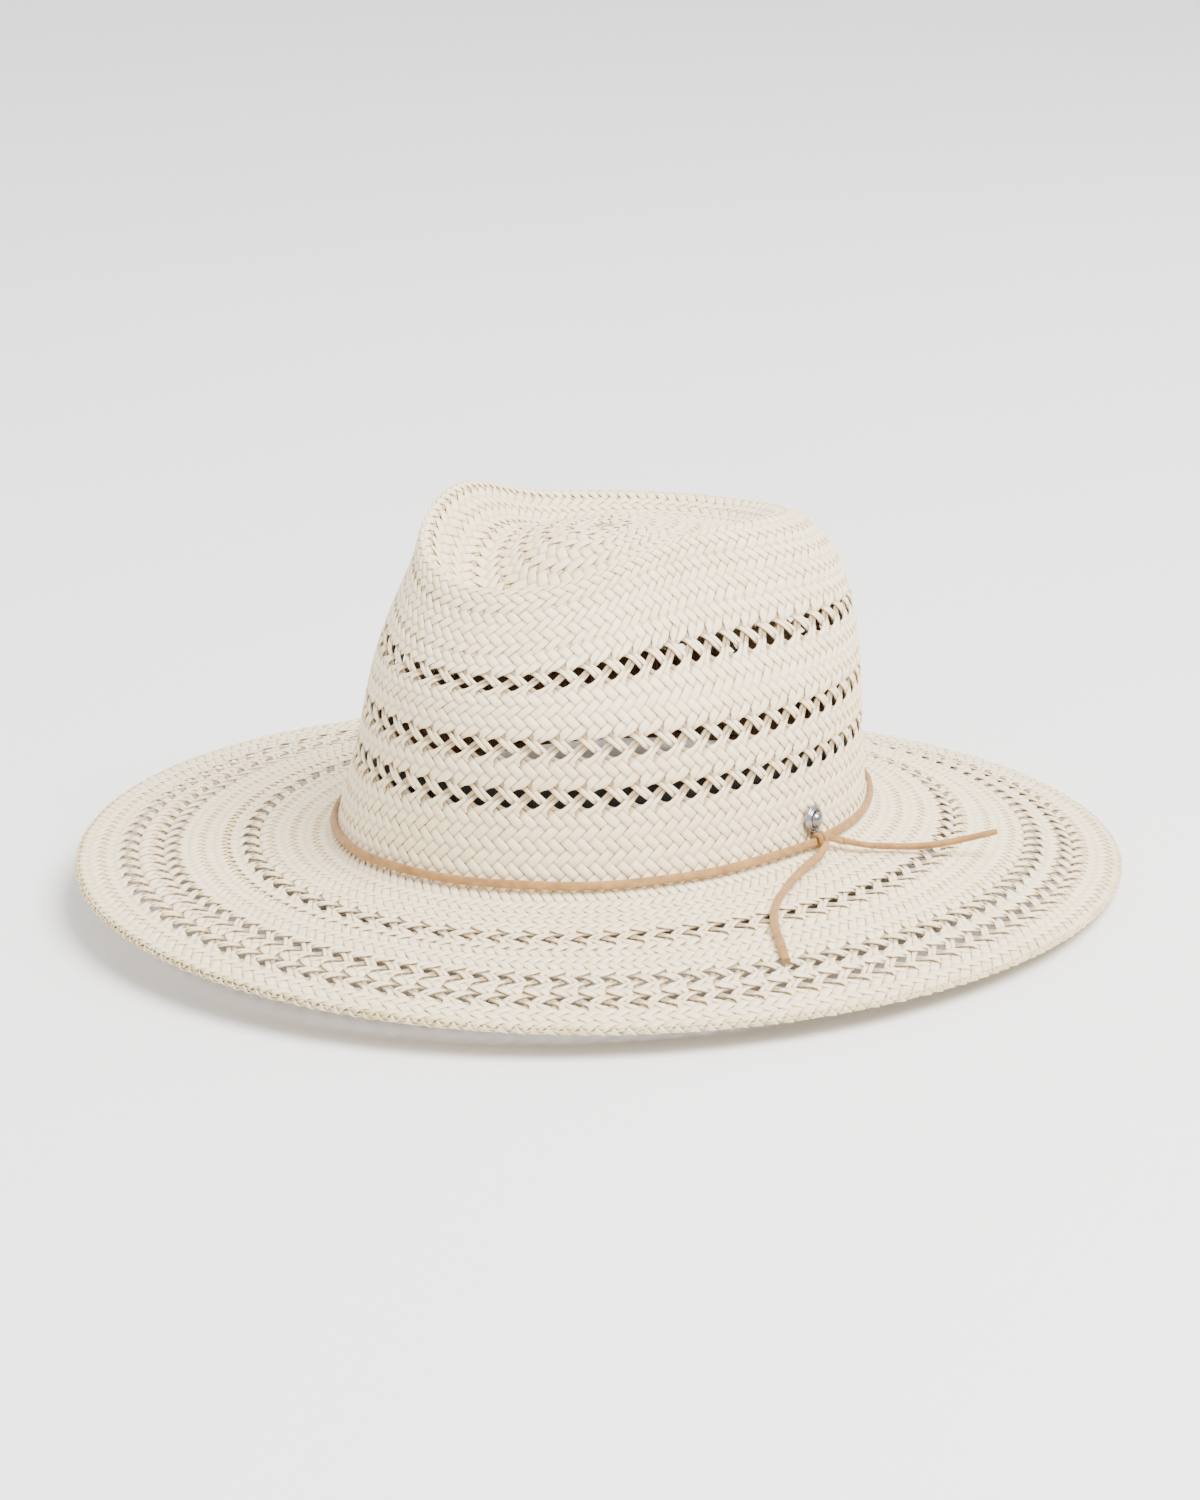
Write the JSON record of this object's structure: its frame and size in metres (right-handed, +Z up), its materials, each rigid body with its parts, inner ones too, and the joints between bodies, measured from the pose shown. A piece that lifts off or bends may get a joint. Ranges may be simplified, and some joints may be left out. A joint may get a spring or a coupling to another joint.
{
  "type": "panama hat",
  "caption": "Wide-brim woven straw panama hat with a pinched teardrop crown, openwork rows, a leather lace hatband with knot and tails, a rivet stud and a ribbon sweatband.",
  "frame": {"origin": "middle of the hat's footprint, on the surface that the brim stands on", "axes": "+Z up through the crown, -Y the front of the hat, +X the wearer's left side"},
  "size_m": [0.361, 0.396, 0.1437],
  "materials": {
    "ivory_straw": "semi-matte woven straw",
    "turned_straw": "semi-matte straw ends",
    "tan_lace": "natural matte",
    "silver": "polished, lightly worn",
    "brown_ribbon": "ribbed ribbon, brown inner face and black outer face",
    "black_thread": "matte",
    "label_cloth": "woven satin"
  },
  "bodies": {
    "root": {"crown": "ivory_straw", "brim": "ivory_straw", "brim_hem": "turned_straw", "lace_band": "tan_lace", "lace_knot": "tan_lace", "lace_tail_rear": "tan_lace", "lace_tail_front": "tan_lace", "stud_cap": "silver", "stud_rivet": "silver", "sweatband": "brown_ribbon", "sweatband_join": "brown_ribbon", "size_label": "label_cloth", "sweatband_thread": "black_thread"}
  },
  "joints": []
}
